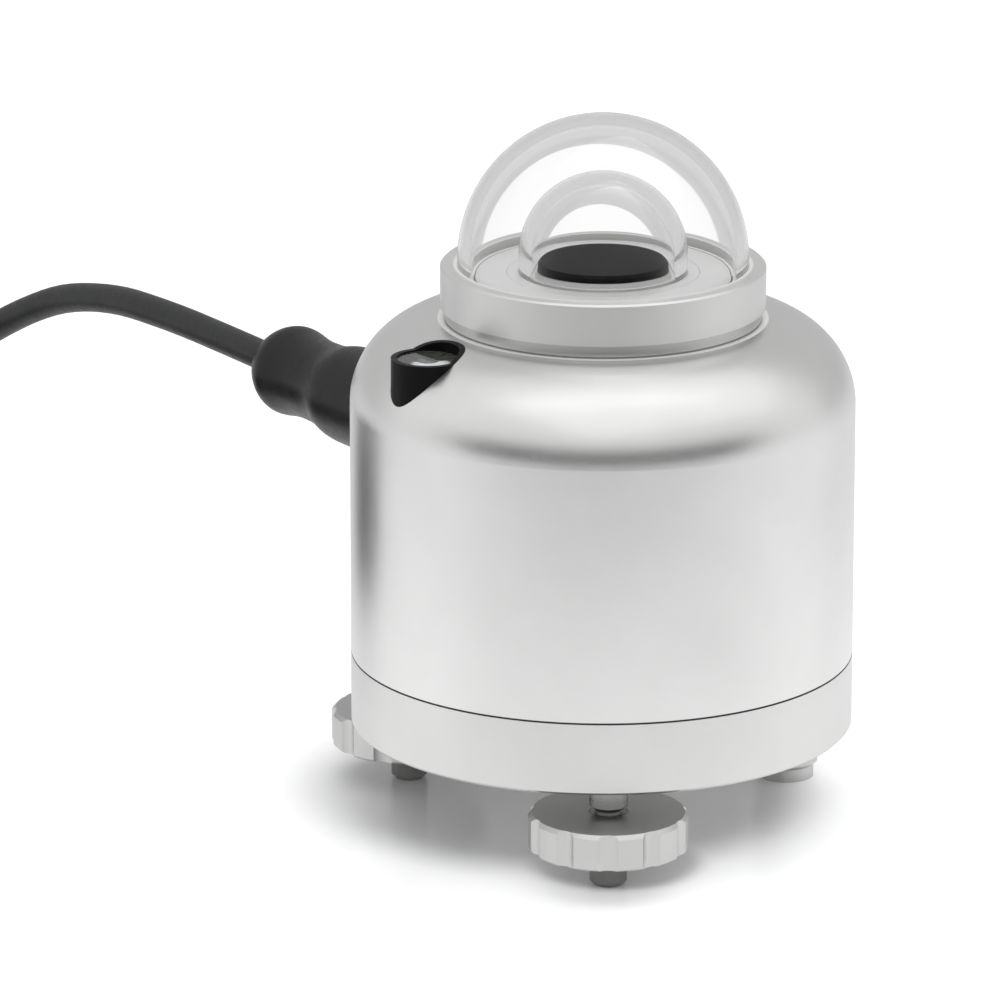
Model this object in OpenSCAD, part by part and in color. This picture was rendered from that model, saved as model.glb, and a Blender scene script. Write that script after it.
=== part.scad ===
// Double-domed radiation sensor on a base plate with two levelling feet, a bubble level, a round
// cable connector and a coiled signal cable. Millimetres, +Z up. The origin is the centre of the
// base plate's underside. The front levelling foot lies towards -Y.

/* [Body] */
// Diameter of the body and of the base plate
body_d = 78; // [74:1:96]
// Height of the base plate
base_h = 11.3; // [10:0.1:16]
// Height of the body shell, from the seam to the shoulder
shell_h = 53.2; // [50:0.1:70]
// Radius of the rounded shoulder
shoulder_r = 13.4; // [8:0.1:14]
// Wall of the body shell
shell_wall = 3; // [2:0.1:4]
// Thickness of the shell's top under the neck
shell_top_t = 4; // [3:0.1:6]
// Outer diameter of the neck under the collar
neck_d = 48.8; // [46:0.1:52]
// Height of the neck
neck_h = 1.95; // [1:0.05:4]
// Dark joint line between the shell and the base plate
seam_gap = 0.15; // [0.05:0.05:0.4]
// Chamfer on the lower edge of the base plate
base_edge = 0.4; // [0.2:0.1:1]

/* [Collar and domes] */
// Outer diameter of the collar that holds the outer dome
collar_d = 50.1; // [48:0.1:54]
// Height of the collar
collar_h = 6.55; // [6:0.05:9]
// Depth of the plate inside the dome below the collar's rim
plate_drop = 1.1; // [0.5:0.1:1.5]
// Outer diameter of the outer dome
outer_dome_d = 44.8; // [43:0.1:46]
// Wall of the outer dome
outer_dome_wall = 1.9; // [1:0.1:2.2]
// Height of the outer dome's centre above the collar's rim
dome_rise = 0.8; // [0.2:0.1:3]
// Outer diameter of the inner dome
inner_dome_d = 26; // [25:0.1:27]
// Wall of the inner dome
inner_dome_wall = 2; // [1:0.1:2.1]
// Height of the inner dome's centre above the plate
inner_dome_rise = 2.4; // [1:0.1:4]

/* [Sensor] */
// Diameter of the black receiver disc
sensor_d = 20.2; // [18:0.1:20.4]
// Height of the receiver disc
sensor_h = 1.1; // [0.8:0.1:1.6]
// Height of the pedestal under the receiver disc
pedestal_h = 0.75; // [0.5:0.05:1.2]
// Diameter of the thermopile under the disc
thermopile_d = 16; // [12:0.5:18]
// Diameter of the sensor housing's top, where the dark ring line lies
housing_top_d = 29.6; // [28:0.1:31]
// Height of the lower part of the sensor housing, below the neck's top
housing_depth = 10.4; // [8:0.1:12]
// Diameter of the lower part of the sensor housing
housing_low_d = 34; // [28:1:38]
// Thickness of the sensor housing's clamped flange
flange_t = 1.5; // [1:0.1:2]

/* [Level] */
// Outer diameter of the bubble level
level_d = 11.3; // [10:0.1:12]
// Distance of the level from the body's axis
level_place_r = 32.3; // [31:0.1:36]
// Angle of the level round the body
level_angle = 213; // [205:1:220]
// How deep the level's flat top lies below the shoulder's top
level_drop = 1.5; // [1:0.1:3]
// Height of the level's cup
level_cup_h = 11; // [8:0.1:13]
// Wall of the level's cup
level_wall = 0.9; // [0.6:0.1:1.2]

/* [Feet] */
// Distance of the three feet from the body's axis
foot_place_r = 34.5; // [33:0.1:38]
// Height of the base's underside above the ground
foot_reach = 15.5; // [14:0.1:20]
// Diameter of the feet's screw thread
foot_thread_d = 6; // [5:0.5:6]
// Rise of the foot screw in one turn
foot_pitch = 1; // [0.8:0.1:1.25]
// Diameter of the levelling knobs
knob_d = 24.5; // [20:0.1:26]
// Thickness of the levelling knobs
knob_h = 5.6; // [4:0.1:7]
// Gap between a knob and the base's underside at rest
knob_gap = 3.9; // [3.9:0.1:5]
// Number of flutes round a knob
knob_flutes = 11; // [8:1:16]
// Depth of a flute
flute_depth = 0.75; // [0.4:0.05:1.2]
// Radius of a flute
flute_r = 2.2; // [1.6:0.1:2.4]
// Chamfer on a knob's top edge
knob_edge = 0.6; // [0.3:0.1:1]
// Diameter of the dark glide tip under a foot screw
tip_d = 5.7; // [5:0.1:7]
// Height of the glide tip
tip_h = 4.6; // [4:0.1:5.6]
// Diameter of the fixed foot
fixed_foot_d = 10; // [8:0.5:10]

/* [Mounts] */
// Distance between the two fixing holes
mount_spacing = 65; // [56:1:65]
// Diameter of the two fixing holes
mount_hole_d = 5; // [4:0.5:5]
// Diameter of the central hole
centre_hole_d = 6; // [5:0.5:8]
// Depth of the fixing holes and of the central hole
mount_depth = 9; // [7:0.1:9]

/* [Connector] */
// Angle of the connector round the body
socket_angle = 123; // [118:1:128]
// Height of the connector above the base's underside
socket_z = 35.7; // [33:0.1:37]
// Thread diameter of the connector
socket_thread_d = 12; // [12:0.1:12.6]
// Hexagon of the socket's flange and nut, across the corners
socket_hex_d = 19; // [18:0.1:20]
// Thickness of the socket's flange
socket_flange_t = 2.5; // [2:0.1:3]
// Length of the socket's thread outside the flange
socket_thread_l = 9; // [8:0.1:10]
// Outer diameter of the coupling nut
coupling_d = 15.4; // [14.8:0.1:17]
// Length of the coupling nut
coupling_l = 13.7; // [13:0.1:15]
// Distance of the boot's outer end from the body's axis
boot_end = 94; // [88:1:98]
// Widest diameter of the boot
boot_d = 16.2; // [14:0.1:18]

/* [Cable] */
// Diameter of the cable
cable_d = 5; // [4:0.1:5.2]
// Gap between neighbouring turns of the coil
coil_gap = 0.5; // [0.5:0.1:1]
// Diameter at the middle of the coil's turns
coil_mean_d = 60; // [54:1:64]
// Thickness of the coil's straps
tie_t = 0.8; // [0.5:0.1:1]
// Width of the coil's straps
tie_w = 6; // [4:0.5:10]

/* [Inside] */
// Diameter of the round main board
board_d = 45; // [38:1:45]
// Thickness of the circuit boards
board_t = 1.6; // [1:0.1:2]
// Height of the standoffs under the main board
standoff_h = 12; // [10:0.5:16]
// Side of the square fan
fan_side = 30; // [26:1:30]
// Thickness of the fan
fan_t = 7; // [6:0.5:8]
// Diameter of the fan's rotor
rotor_d = 26.4; // [22:0.1:26.4]
// Number of fan blades
fan_blades = 7; // [5:1:9]

/* [Hidden] */
$fn = 96;

// Clearances and overruns
fit = 0.05;           // round fit between pieces that stay together
run = 0.06;           // round fit between pieces that move
face_gap = 0.1;       // gap between faces that don't bear
cut = 1;              // overrun of a cut
screw_fit = 0.15;     // round clearance of a screw in a through hole

// Levels
body_r = body_d / 2;
z_seam = base_h;
z_shell = z_seam + seam_gap;
z_shoulder = z_seam + shell_h;
z_neck = z_shoulder + neck_h;
z_rim = z_neck + collar_h;
z_plate = z_rim - plate_drop;
z_dome = z_rim + dome_rise;
z_inner_dome = z_plate + inner_dome_rise;
z_ceiling = z_shoulder - shell_top_t;
z_ground = -foot_reach;
bore_r = body_r - shell_wall;

// Collar, flange and dome seats
outer_dome_r = outer_dome_d / 2;
inner_dome_r = inner_dome_d / 2;
seat_depth = 1.9;
z_seat = z_plate - seat_depth;
seat_out_r = outer_dome_r + fit;
seat_in_r = outer_dome_r - outer_dome_wall - fit;
lip_w = 0.6;
collar_bore_r = seat_in_r - lip_w;
collar_edge = 0.3;
neck_wall = 3.8;
neck_bore_r = neck_d / 2 - neck_wall;
neck_wall_share = 0.8;
flange_r = neck_bore_r + (neck_d / 2 - neck_bore_r) * neck_wall_share;
bond_t = 0.2;
inner_seat_depth = 1;
heater_t = 0.3;
plate_t = 1.3;
z_heater = z_plate - plate_t - heater_t;
plate_gap = 0.25;
plate_out_r = collar_bore_r - plate_gap;
housing_top_r = housing_top_d / 2;
sensor_r = sensor_d / 2;
pedestal_step = 0.3;
pedestal_r = sensor_r + pedestal_step;
z_pedestal = z_plate + pedestal_h;
thermopile_r = thermopile_d / 2;
thermopile_h = 3.9;

// Seals and small screws
seal_d = 1.6;
seal_ease = 0.05;
collar_screw_d = 2.5;
collar_screw_head_d = 4.5;
collar_screw_head_h = 2.2;
collar_screw_n = 4;
collar_screw_r = (neck_bore_r + flange_r) / 2;
collar_screw_turn = 45;
collar_screw_grip = 1.4;
base_screw_d = 4;
base_screw_head_d = 7;
base_screw_head_h = 4;
base_screw_inset = 11.5;
base_screw_r = body_r - base_screw_inset;
base_screw_n = 3;
base_screw_turn = 90;
base_screw_bite = 8;
boss_r = 4;
boss_h = 12.5;
socket_drive_share = 0.5;
socket_depth_share = 0.6;

// Base plate
pocket_inset = 16;
pocket_r = body_r - pocket_inset;
pocket_floor = 6;
centre_boss_r = 6;
spigot_h = 4;
spigot_wall = 3.9;
spigot_r = bore_r - face_gap;
base_screw_free = 0.5;
seal_groove_z = 1.2;
web_rise = 0.5;

// Level
level_r = level_d / 2;
z_level = z_shoulder - level_drop;
level_window_t = 1;
level_rim = 0.25;
level_floor = 1.2;
level_boss_wall = 2;
level_bubble_d = 3.4;
level_bubble_h = 0.9;

// Feet: the front and left ones are screws, the third is fixed
foot_angles = [270, 150, 30];
flute_turns = [-2.1, -20.4];
foot_hole_r = foot_thread_d / 2;
foot_screw_r = foot_hole_r - run;
foot_hole_floor = 1;
foot_hole_depth = base_h - foot_hole_floor;
foot_screw_in = 6.4;
foot_screw_edge = 0.5;
neck_screw_h = 0.25;
neck_screw_slope = 0.85;
neck_screw_step = 1;
neck_screw_r = foot_screw_r - neck_screw_step;
tip_pin_r = 1.5;
tip_pin_h = 3;
knob_under_edge = 0.3;
fixed_foot_edge = 0.6;
fixed_foot_pad_h = 2;
fixed_foot_in = 8;

// Connector, measured outwards from the body's axis
spot_ease = 0.5;
spot_sink = 0.3;
spot_r = socket_hex_d / 2 + spot_ease;
spot_x = sqrt(body_r * body_r - spot_r * spot_r) - spot_sink;
socket_r = socket_thread_d / 2;
flange_end = spot_x + socket_flange_t;
thread_end = flange_end + socket_thread_l;
socket_wall = 1.4;
socket_bore_r = socket_r - socket_wall;
socket_inner_l = 7.6;
socket_seal_r = socket_r + seal_d;
socket_seal_h = 1.2;
socket_nut_t = 3;
socket_nut_x = sqrt(bore_r * bore_r - socket_hex_d * socket_hex_d / 4) - socket_nut_t - face_gap;
insert_in = 6.6;
insert_out = 4.4;
pin_r = 0.5;
pin_circle_r = 2.3;
pin_n = 4;
pin_out = 6;
nut_gap = 0.4;
nut_start = flange_end + nut_gap;
nut_back_t = 1.8;
nut_end = nut_start + coupling_l;
plug_flange_t = 2.2;
plug_neck_step = 0.8;
plug_neck_r = socket_r - plug_neck_step;
plug_neck_l = 5;
boot_start = nut_end + nut_gap;
knurls = 24;
knurl_r = 0.7;
boot_r = boot_d / 2;
boot_l = boot_end - boot_start;
// Stations along the boot and radii at them, as shares of its length and of its largest radius
boot_station_shares = [0, 0.015, 0.05, 0.12, 0.3, 0.38, 0.43, 0.47, 0.51, 0.56, 0.62, 0.7, 0.77, 0.82, 0.86,
    0.9, 0.94, 0.97, 0.99, 1];
boot_radius_shares = [0.8, 0.94, 0.98, 1, 0.995, 0.99, 0.97, 0.93, 0.88, 0.845, 0.83, 0.83, 0.865, 0.905, 0.915,
    0.87, 0.775, 0.68, 0.61, 0.56];

// Cable: the free stretch, in the connector's frame: outwards, to the left, up
cable_r = cable_d / 2;
cable_sides = 10;
cable_route = [[boot_end, 0, socket_z], [103, 0, 35.7], [112, 0, 35.7], [122, 0, 35.7], [132, 0, 35.6],
    [142, 0, 35.2], [152, 0, 34], [162, 0, 31.5], [171, 0.5, 28], [180, 1.5, 23.5], [188, 3.5, 18.5], [195, 7, 13],
    [201, 12, 7.5], [206, 18.5, 2], [210, 26, -3], [213, 34.5, -7.5], [214.5, 43.5, -10.7],
    [215, 53, -12], [215, 59, -12.1]];
// Coil: its centre in the connector's frame, and its turns
coil_centre = [174, 64];
coil_layers = 4;
coil_turns = 4;
coil_last_turns = 2.75;
coil_rings = 24;
coil_sides = 6;
coil_step = cable_d + coil_gap;
coil_out_r = (coil_mean_d + coil_turns * coil_step) / 2;
coil_z = z_ground + tie_t + face_gap + cable_r;
tie_turn_shares = [0.32, 0.68];
tie_ease = 0.3;
sleeve_l = 14;
sleeve_wall = 0.25;
wire_r = 0.55;
wire_l = 12;
wire_n = 5;
wire_spread = 4;
ferrule_r = 0.8;
ferrule_l = 6;

// Inside
board_r = board_d / 2;
z_board = pocket_floor + standoff_h;
standoff_r = 2.5;
standoff_pin_l = 1.8;
standoff_hole_l = 2;
standoff_inset = 3;
standoff_place_r = board_r - standoff_inset;
standoff_turn = 30;
standoff_n = 3;
board_screw_r = 1;
board_screw_head_r = 1.9;
board_screw_head_h = 1.3;
board_screw_l = 5;
bracket_drop = 14.5;
z_bracket = z_ceiling - bracket_drop;
bracket_t = 1.5;
bracket_ease = 0.3;
bracket_bore_r = rotor_d / 2 + bracket_ease;
post_r = 2;
post_inset = 2.4;
post_place_r = neck_bore_r + post_inset;
bracket_rim = 2.6;
bracket_r = post_place_r + bracket_rim;
post_n = 3;
post_screw_r = 0.9;
post_screw_head_r = 1.7;
post_screw_head_h = 1.2;
post_screw_bite = 2.5;
fan_hub_r = 6;
fan_gap = 0.4;
fan_axle_r = 0.8;
fan_strut_w = 2;
fan_base_t = 1.2;
fan_screw_share = 0.4;
fan_screw_n = 4;
fan_screw_turn = 45;
fan_screw_place_r = fan_side * fan_screw_share * sqrt(2);
fan_screw_r = 0.9;
fan_screw_head_r = 1.6;
fan_screw_head_h = 1;
blade_t = 0.8;
blade_tilt = 35;
sensor_board_r = 12;
sensor_screw_place_r = 9;
sensor_screw_turn = 90;
ribbon_w = 6;
ribbon_t = 0.8;
ribbon_x = 18;
ribbon_slot = 0.6;
header_w = 8;
header_d = 4;
header_h = 4;
chip_w = 9;
chip_h = 1.4;
can_r = 2.6;
can_h = 5;
pack_size = [24, 9, 8];
pack_y = 13;
pack_corner = 1.5;

// Shapes that repeat

// A solid of revolution from [radius, height] pairs
module turned(outline) {
    rotate_extrude() polygon(outline);
}

// A tube section between two heights
module ring(out_r, in_r, low, high) {
    translate([0, 0, low]) difference() {
        cylinder(r = out_r, h = high - low);
        translate([0, 0, -cut]) cylinder(r = in_r, h = high - low + 2 * cut);
    }
}

module rod(r, low, high) {
    translate([0, 0, low]) cylinder(r = r, h = high - low);
}

module o_ring(mid_r, section_d, z) {
    translate([0, 0, z]) rotate_extrude() translate([mid_r, 0]) circle(d = section_d, $fn = 24);
}

// Places children n times on a circle
module round_places(n, r, turn) {
    for (i = [0 : n - 1]) rotate([0, 0, turn + i * 360 / n]) translate([r, 0, 0]) children();
}

// Places children at a foot
module at_foot(i) {
    rotate([0, 0, foot_angles[i]]) translate([foot_place_r, 0, 0]) children();
}

// Turns children so that their +Z runs outwards along the connector's axis
module at_socket() {
    rotate([0, 0, socket_angle]) translate([0, 0, socket_z]) rotate([0, 90, 0]) children();
}

module at_level() {
    rotate([0, 0, level_angle]) translate([level_place_r, 0, 0]) children();
}

// A cylinder-head screw that points up, its head's underside at zero
module screw_up(r, head_r, head_h, length, drive_r) {
    difference() {
        union() {
            rod(r, 0, length);
            rod(head_r, -head_h, 0);
        }
        translate([0, 0, -head_h - cut]) cylinder(r = drive_r, h = head_h * socket_depth_share + cut, $fn = 6);
    }
}

// Rings of a tube round a path, swept as one polyhedron
function unit(v) = v / norm(v);
function heading(p, i) = unit(p[min(i + 1, len(p) - 1)] - p[max(i - 1, 0)]);
function tube_ring(p, i, r, sides) =
    let (t = heading(p, i), s = unit(cross(t, [0, 0, 1])), u = cross(s, t))
    [for (k = [0 : sides - 1]) p[i] + r * cos(360 * k / sides) * s + r * sin(360 * k / sides) * u];
module tube(p, r, sides) {
    rings = len(p);
    points = [for (i = [0 : rings - 1]) each tube_ring(p, i, r, sides)];
    walls = [for (i = [0 : rings - 2], k = [0 : sides - 1])
        let (a = i * sides + k, b = i * sides + (k + 1) % sides)
        each [[a, b, b + sides], [a, b + sides, a + sides]]];
    first = [for (k = [1 : sides - 2]) [0, k + 1, k]];
    last = [for (k = [1 : sides - 2]) [0, k, k + 1] + (rings - 1) * sides * [1, 1, 1]];
    polyhedron(points = points, faces = concat(walls, first, last), convexity = 10);
}

// Coil: the radius falls and grows at a steady rate, and a layer is climbed in the half turn
// where it reverses
function coil_layer(t) = floor(t / coil_turns);
function coil_radius(t) =
    let (k = coil_layer(t), s = t - k * coil_turns)
    coil_out_r - coil_step * (k % 2 == 0 ? s : coil_turns - s);
function coil_climb(t) =
    let (k = round(t / coil_turns), s = t - k * coil_turns)
    k == 0 ? 0 : k - 1 + min(1, max(0, 0.5 + 2 * s));
coil_total = (coil_layers - 1) * coil_turns + coil_last_turns;
coil_points = [for (i = [0 : coil_total * coil_rings])
    let (t = i / coil_rings, a = 360 * t)
    [coil_radius(t) * cos(a), coil_radius(t) * sin(a), coil_climb(t) * coil_step]];
coil_last = coil_points[len(coil_points) - 1];
coil_way = let (a = 360 * coil_total) [-sin(a), cos(a), 0];
coil_path = concat([coil_points[0] - [0, cable_d, 0]], coil_points, [coil_last + cable_d * coil_way]);
coil_end = coil_last + cable_d * coil_way;
coil_self_gap = min([for (i = [0 : 2 : len(coil_points) - 1])
    for (j = [i + coil_rings / 2 : 1 : len(coil_points) - 1])
        norm(coil_points[i] - coil_points[j])]) - cable_d;
echo(coil_self_gap = coil_self_gap);  // cable_coil

module at_coil() {
    rotate([0, 0, socket_angle]) translate([coil_centre.x, coil_centre.y, coil_z]) children();
}

// Domes and collar

module dome(r, wall, z_centre, z_foot) {
    difference() {
        union() {
            translate([0, 0, z_centre]) difference() {
                sphere(r = r);
                translate([-2 * r, -2 * r, -2 * r]) cube([4 * r, 4 * r, 2 * r]);
            }
            rod(r, z_foot, z_centre);
        }
        translate([0, 0, z_centre]) sphere(r = r - wall);
        rod(r - wall, z_foot - cut, z_centre);
    }
}

module outer_dome() {
    color([0.93, 0.95, 0.96, 0.35]) dome(outer_dome_r, outer_dome_wall, z_dome, z_seat + bond_t);
}

module inner_dome() {
    color([0.93, 0.95, 0.96, 0.35])
        dome(inner_dome_r, inner_dome_wall, z_inner_dome, z_plate - inner_seat_depth + bond_t);
}

module outer_dome_bond() {
    color("whitesmoke") ring(seat_out_r - fit, seat_in_r + fit, z_seat, z_seat + bond_t);
}

module inner_dome_bond() {
    low = z_plate - inner_seat_depth;
    color("whitesmoke") ring(inner_dome_r, inner_dome_r - inner_dome_wall, low, low + bond_t);
}

module collar_ring() {
    out_r = collar_d / 2;
    color([0.75, 0.75, 0.73]) difference() {
        turned([[collar_bore_r, z_neck + flange_t + face_gap], [flange_r + fit, z_neck + flange_t + face_gap],
            [flange_r + fit, z_neck + seal_d], [neck_d / 2 - fit, z_neck + seal_d],
            [neck_d / 2 - fit, z_neck + face_gap], [out_r, z_neck + face_gap],
            [out_r, z_rim - collar_edge], [out_r - collar_edge, z_rim], [seat_out_r, z_rim],
            [seat_out_r, z_seat], [seat_in_r, z_seat], [seat_in_r, z_plate], [collar_bore_r, z_plate]]);
        round_places(collar_screw_n, collar_screw_r, collar_screw_turn)
            rod(collar_screw_d / 2 + fit, z_neck, z_neck + flange_t + collar_screw_grip + face_gap);
    }
}

module collar_seal() {
    color("black")
        ring(neck_d / 2 - seal_ease - fit, flange_r + seal_ease + fit, z_neck, z_neck + seal_d - seal_ease);
}

module collar_screws() {
    length = z_neck - z_ceiling + flange_t + collar_screw_grip;
    color("silver") round_places(collar_screw_n, collar_screw_r, collar_screw_turn)
        translate([0, 0, z_ceiling])
            screw_up(collar_screw_d / 2, collar_screw_head_d / 2, collar_screw_head_h, length,
                collar_screw_d * socket_drive_share);
}

// Sensor

module top_plate() {
    color([0.78, 0.78, 0.76]) ring(plate_out_r, housing_top_r + fit, z_plate - plate_t, z_plate);
}

module dome_heater() {
    color("darkorange") ring(plate_out_r - fit, housing_top_r + fit, z_heater, z_heater + heater_t);
}

module sensor_housing() {
    color([0.78, 0.78, 0.76]) difference() {
        turned([[0, z_neck - housing_depth], [housing_low_d / 2, z_neck - housing_depth],
            [housing_low_d / 2, z_ceiling + face_gap], [neck_bore_r - face_gap, z_ceiling + face_gap],
            [neck_bore_r - face_gap, z_neck], [flange_r, z_neck], [flange_r, z_neck + flange_t],
            [collar_bore_r - fit, z_neck + flange_t], [collar_bore_r - fit, z_heater],
            [housing_top_r, z_heater], [housing_top_r, z_plate], [pedestal_r, z_plate],
            [pedestal_r, z_pedestal], [0, z_pedestal]]);
        rod(thermopile_r + fit, z_plate - thermopile_h, z_pedestal + cut);
        ring(inner_dome_r + fit, inner_dome_r - inner_dome_wall - fit, z_plate - inner_seat_depth,
            z_plate + cut);
        round_places(collar_screw_n, collar_screw_r, collar_screw_turn)
            rod(collar_screw_d / 2 + screw_fit, z_ceiling, z_neck + flange_t + cut);
        round_places(2, sensor_screw_place_r, sensor_screw_turn)
            rod(board_screw_r + fit, z_neck - housing_depth - cut, z_neck - housing_depth + board_screw_l);
    }
}

module sensor_disc() {
    round = sensor_h / 3;
    top = z_pedestal + sensor_h;
    color([0.08, 0.08, 0.08])
        turned([[0, z_pedestal], [sensor_r, z_pedestal], [sensor_r, top - round], [sensor_r - round, top],
            [0, top]]);
}

module thermopile() {
    color("goldenrod") rod(thermopile_r, z_plate - thermopile_h, z_pedestal);
}

// Body shell: a turned cup with a rounded shoulder, a pocket for the level, three screw bosses
// inside and a spot-faced hole for the connector

module shell_outline() {
    corner_r = body_r - shoulder_r;
    union() {
        translate([0, z_shell]) square([body_r, z_shoulder - shoulder_r - z_shell]);
        translate([0, z_shell]) square([corner_r, z_shoulder - z_shell]);
        translate([corner_r, z_shoulder - shoulder_r]) circle(r = shoulder_r);
        translate([0, z_shell]) square([neck_d / 2, z_neck - z_shell]);
    }
}

module shell_hollow() {
    inner_r = min(shoulder_r - shell_wall, shoulder_r - shell_top_t);
    union() {
        translate([0, z_shell - cut]) square([bore_r, z_ceiling - inner_r - z_shell + cut]);
        translate([0, z_shell - cut]) square([bore_r - inner_r, z_ceiling - z_shell + cut]);
        translate([bore_r - inner_r, z_ceiling - inner_r]) circle(r = inner_r);
        translate([0, z_shell - cut]) square([neck_bore_r, z_neck - z_shell + 2 * cut]);
    }
}

module level_pocket() {
    at_level() rod(level_r + fit, z_level - level_cup_h, z_shoulder + cut);
}

module body_shell() {
    color([0.82, 0.82, 0.81]) difference() {
        union() {
            rotate_extrude() difference() {
                shell_outline();
                shell_hollow();
            }
            intersection() {
                rotate_extrude() shell_outline();
                at_level()
                    rod(level_r + level_boss_wall, z_level - level_cup_h - level_boss_wall, z_shoulder);
            }
            round_places(base_screw_n, base_screw_r, base_screw_turn) {
                rod(boss_r, z_shell, z_shell + boss_h);
                translate([0, -boss_r / 2, z_seam + spigot_h + web_rise])
                    cube([bore_r - base_screw_r + shell_wall / 2, boss_r, boss_h - spigot_h - web_rise]);
            }
        }
        level_pocket();
        round_places(base_screw_n, base_screw_r, base_screw_turn)
            rod(base_screw_d / 2 + fit, z_shell - cut, z_shell + base_screw_bite);
        round_places(collar_screw_n, collar_screw_r, collar_screw_turn)
            rod(collar_screw_d / 2 + screw_fit, z_ceiling - cut, z_neck + cut);
        round_places(post_n, post_place_r, 0)
            rod(post_screw_r + fit, z_ceiling - cut, z_ceiling + post_screw_bite);
        at_socket() {
            rod(socket_r + fit, bore_r - shell_wall, body_r + cut);
            rod(spot_r, spot_x, body_r + cut);
        }
    }
}

// Base plate

module base_plate() {
    groove_low = z_seam + seal_groove_z;
    groove_r = spigot_r + face_gap - seal_d - 2 * seal_ease;
    color([0.87, 0.87, 0.85]) difference() {
        union() {
            turned([[0, 0], [body_r - base_edge, 0], [body_r, base_edge], [body_r, z_seam], [0, z_seam]]);
            ring(spigot_r, spigot_r - spigot_wall, z_seam, z_seam + spigot_h);
        }
        ring(pocket_r, centre_boss_r, pocket_floor, z_seam + cut);
        ring(body_r, groove_r, groove_low, groove_low + seal_d + 2 * seal_ease);
        rod(centre_hole_d / 2, -cut, mount_depth);
        for (side = [-1, 1]) translate([side * mount_spacing / 2, 0, 0])
            rod(mount_hole_d / 2, -cut, mount_depth);
        for (i = [0 : 2]) at_foot(i) rod(foot_hole_r, -cut, foot_hole_depth);
        round_places(base_screw_n, base_screw_r, base_screw_turn) {
            rod(base_screw_d / 2 + screw_fit, -cut, z_seam + cut);
            rod(base_screw_head_d / 2 + screw_fit, -cut, base_screw_head_h + face_gap);
        }
        round_places(standoff_n, standoff_place_r, standoff_turn)
            rod(board_screw_r + fit, pocket_floor - standoff_hole_l, pocket_floor + cut);
    }
}

module base_seal() {
    color("black")
        o_ring(bore_r - seal_ease - seal_d / 2, seal_d, z_seam + seal_groove_z + seal_ease + seal_d / 2);
}

module base_screws() {
    color("silver") round_places(base_screw_n, base_screw_r, base_screw_turn)
        translate([0, 0, base_screw_head_h + face_gap])
            screw_up(base_screw_d / 2, base_screw_head_d / 2, base_screw_head_h,
                z_shell + base_screw_bite - base_screw_head_h - base_screw_free,
                base_screw_d * socket_drive_share);
}

// Bubble level

module level_cup() {
    low = z_level - level_cup_h;
    color([0.07, 0.07, 0.08]) difference() {
        union() {
            at_level() rod(level_r, low, z_level);
            intersection() {
                at_level() rod(level_r, z_level, z_shoulder);
                rotate_extrude() shell_outline();
            }
        }
        at_level() rod(level_r - level_wall, low + level_floor, z_shoulder + cut);
    }
}

module level_window() {
    color([0.9, 0.95, 0.9, 0.4]) at_level()
        rod(level_r - level_wall - fit, z_level - level_rim - level_window_t, z_level - level_rim);
}

module level_fluid() {
    top = z_level - level_rim - level_window_t;
    color([0.75, 0.8, 0.4, 0.5]) at_level() difference() {
        rod(level_r - level_wall - fit, z_level - level_cup_h + level_floor, top);
        rod(level_bubble_d / 2, top - level_bubble_h, top + cut);
    }
}

// Feet

module fixed_foot() {
    pad_r = fixed_foot_d / 2 - fixed_foot_edge;
    color([0.75, 0.75, 0.74]) at_foot(2) {
        turned([[0, z_ground], [pad_r, z_ground], [pad_r, z_ground + fixed_foot_pad_h],
            [fixed_foot_d / 2, z_ground + fixed_foot_pad_h + fixed_foot_edge], [fixed_foot_d / 2, 0],
            [foot_screw_r, 0], [foot_screw_r, fixed_foot_in], [0, fixed_foot_in]]);
    }
}

module foot_tip(i) {
    round = tip_d / 8;
    color([0.16, 0.17, 0.16]) at_foot(i) difference() {
        turned([[0, z_ground], [tip_d / 2 - round, z_ground], [tip_d / 2, z_ground + round],
            [tip_d / 2, z_ground + tip_h], [0, z_ground + tip_h]]);
        rod(tip_pin_r + run, z_ground + tip_h - tip_pin_h, z_ground + tip_h + cut);
    }
}

module foot_screw(i) {
    z_tip = z_ground + tip_h;
    color([0.72, 0.72, 0.7]) at_foot(i) {
        turned([[0, z_tip - tip_pin_h + face_gap], [tip_pin_r, z_tip - tip_pin_h + face_gap],
            [tip_pin_r, z_tip + face_gap], [foot_screw_r, z_tip + face_gap], [foot_screw_r, -knob_gap],
            [neck_screw_r, -knob_gap], [neck_screw_r, neck_screw_h - knob_gap],
            [foot_screw_r, neck_screw_h + neck_screw_slope - knob_gap],
            [foot_screw_r, foot_screw_in - foot_screw_edge], [foot_screw_r - foot_screw_edge, foot_screw_in],
            [0, foot_screw_in]]);
    }
}

module foot_knob(i) {
    knob_r = knob_d / 2;
    low = -knob_gap - knob_h;
    color([0.82, 0.82, 0.8]) at_foot(i) difference() {
        turned([[foot_hole_r, low], [knob_r - knob_under_edge, low], [knob_r, low + knob_under_edge],
            [knob_r, -knob_gap - knob_edge], [knob_r - knob_edge, -knob_gap], [foot_hole_r, -knob_gap]]);
        for (k = [0 : knob_flutes - 1])
            rotate([0, 0, flute_turns[i] + 270 - foot_angles[i] + k * 360 / knob_flutes])
                translate([knob_r - flute_depth + flute_r, 0, low - cut])
                    cylinder(r = flute_r, h = knob_h + 2 * cut, $fn = 48);
    }
}

module front_foot_tip() {
    foot_tip(0);
}

module front_foot_screw() {
    foot_screw(0);
}

module front_foot_knob() {
    foot_knob(0);
}

module left_foot_tip() {
    foot_tip(1);
}

module left_foot_screw() {
    foot_screw(1);
}

module left_foot_knob() {
    foot_knob(1);
}

// Boards and wiring inside

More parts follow.
